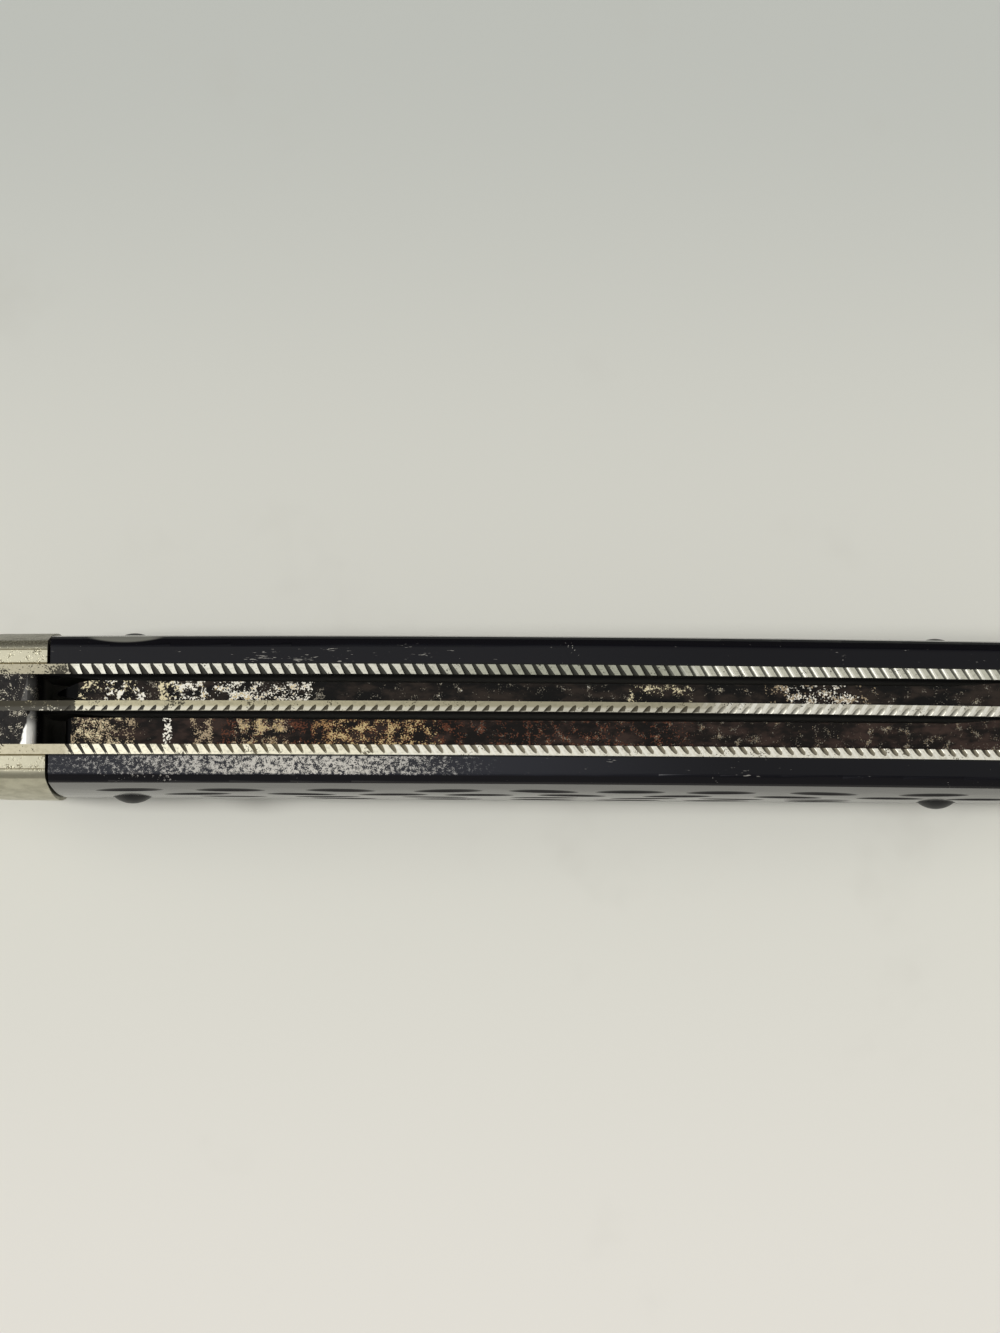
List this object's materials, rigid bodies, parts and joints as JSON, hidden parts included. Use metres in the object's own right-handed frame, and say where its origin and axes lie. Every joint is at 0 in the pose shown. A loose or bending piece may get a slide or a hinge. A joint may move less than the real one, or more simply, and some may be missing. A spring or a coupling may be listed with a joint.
{
  "type": "pocket knife",
  "caption": "Slip-joint folding knife with an arched handle, milled nickel silver liners, black jigged scales and two blades that fold into their wells from one end.",
  "frame": {"origin": "centre of the footprint, on the plane that the handle's back rests on", "axes": "+X towards the pivot end, +Y towards the pile side, +Z towards the open side of the handle"},
  "size_m": [0.1046, 0.0142, 0.0186],
  "materials": {
    "bolster_metal": "satin nickel silver with fine dark pits",
    "liner_metal": "satin nickel silver, milled along the edges, grime in the grooves",
    "pin_metal": "satin nickel silver",
    "scale_black": "glossy black, jigged",
    "spring_steel": "dark patinated steel with rust and bright worn spots, blackened on the rivets",
    "blade_steel": "dark pitted steel with rust and bright worn spots"
  },
  "bodies": {
    "frame": {"mark_scale": "scale_black", "pile_scale": "scale_black", "mark_liner": "liner_metal", "centre_liner": "liner_metal", "pile_liner": "liner_metal", "main_spring": "spring_steel", "second_spring": "spring_steel", "mark_cap_bolster": "bolster_metal", "pile_cap_bolster": "bolster_metal", "mark_pivot_bolster": "bolster_metal", "pile_pivot_bolster": "bolster_metal", "pivot_pin": "pin_metal", "centre_pin": "pin_metal", "cap_pin": "pin_metal", "mark_rivet_cap_end": "spring_steel", "mark_rivet_pivot_end": "spring_steel", "pile_rivet_cap_end": "spring_steel", "pile_rivet_pivot_end": "spring_steel"},
    "main_blade": {"main_blade": "blade_steel"},
    "second_blade": {"second_blade": "blade_steel"}
  },
  "joints": [
    {"name": "main_blade_pivot", "type": "hinge", "parent": "frame", "child": "main_blade", "pos_m": [0.045, -0.00147, 0.008], "axis": [0, 1, 0], "range_deg": [0, 180]},
    {"name": "second_blade_pivot", "type": "hinge", "parent": "frame", "child": "second_blade", "pos_m": [0.045, 0.00175, 0.008], "axis": [0, 1, 0], "range_deg": [0, 180]}
  ]
}
